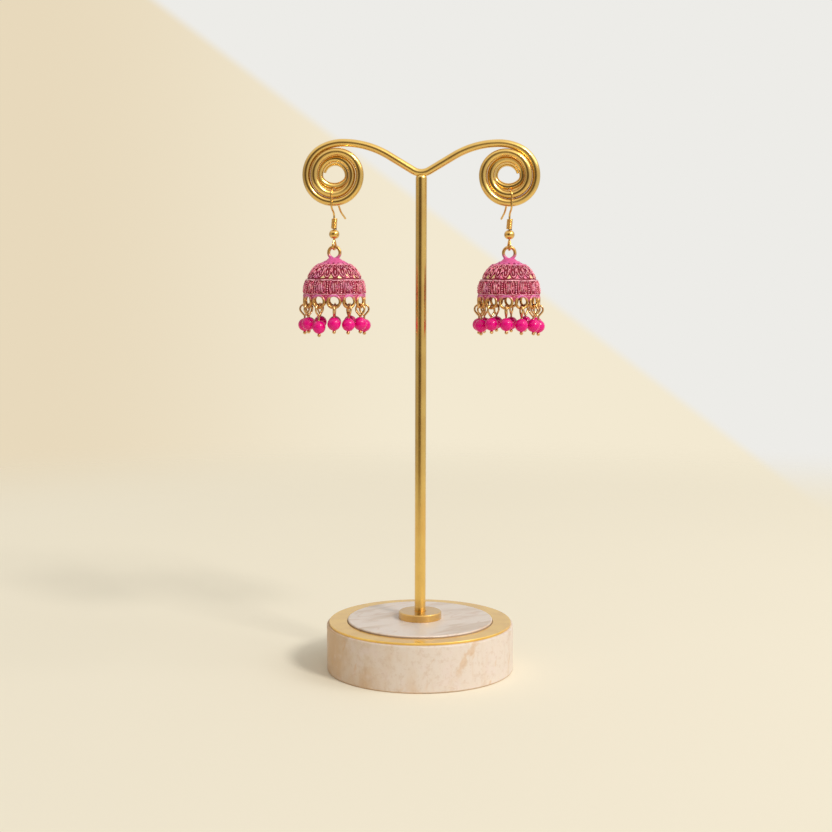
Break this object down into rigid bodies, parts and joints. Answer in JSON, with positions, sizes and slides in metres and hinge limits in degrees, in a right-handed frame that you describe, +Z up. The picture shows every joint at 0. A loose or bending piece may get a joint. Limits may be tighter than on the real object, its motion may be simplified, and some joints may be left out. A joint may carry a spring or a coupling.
{
  "type": "jhumka earrings on a display stand",
  "caption": "Bell-shaped jhumka earrings with bead drops, hung on ear wires from the scrolls of a gold T-shaped stand on a round marble foot; each bell swings on its wire.",
  "frame": {"origin": "centre of the foot's underside", "axes": "+Z up along the post, +X towards the right earring, -Y towards the viewer"},
  "size_m": [0.0777, 0.06, 0.1687],
  "materials": {
    "marble": "honed",
    "stand_gold": "polished plating",
    "fine_gold": "polished plating",
    "pink_enamel": "cast brass under pink enamel paint",
    "pink_bead": "glossy"
  },
  "bodies": {
    "stand": {"marble_base": "marble", "base_ring": "stand_gold", "post_collar": "stand_gold", "stand_frame": "stand_gold", "left_ear_hook": "fine_gold", "left_hook_wrap": "fine_gold", "left_hook_ball": "fine_gold", "right_ear_hook": "fine_gold", "right_hook_wrap": "fine_gold", "right_hook_ball": "fine_gold"},
    "left_drop": {"left_dome": "pink_enamel", "left_head_pins": "fine_gold", "left_bead_01": "pink_bead", "left_bead_02": "pink_bead", "left_bead_03": "pink_bead", "left_bead_04": "pink_bead", "left_bead_05": "pink_bead", "left_bead_06": "pink_bead", "left_bead_07": "pink_bead", "left_bead_08": "pink_bead", "left_bead_09": "pink_bead", "left_bead_10": "pink_bead", "left_bead_11": "pink_bead", "left_bead_12": "pink_bead"},
    "right_drop": {"right_dome": "pink_enamel", "right_head_pins": "fine_gold", "right_bead_01": "pink_bead", "right_bead_02": "pink_bead", "right_bead_03": "pink_bead", "right_bead_04": "pink_bead", "right_bead_05": "pink_bead", "right_bead_06": "pink_bead", "right_bead_07": "pink_bead", "right_bead_08": "pink_bead", "right_bead_09": "pink_bead", "right_bead_10": "pink_bead", "right_bead_11": "pink_bead", "right_bead_12": "pink_bead"}
  },
  "joints": [
    {"name": "left_drop_swing", "type": "hinge", "parent": "stand", "child": "left_drop", "pos_m": [-0.0273, 0, 0.13436], "axis": [0.3746, 0.9272, 0], "range_deg": [-30, 30]},
    {"name": "right_drop_swing", "type": "hinge", "parent": "stand", "child": "right_drop", "pos_m": [0.0277, 0, 0.13436], "axis": [-0.2588, 0.9659, 0], "range_deg": [-30, 30]}
  ]
}
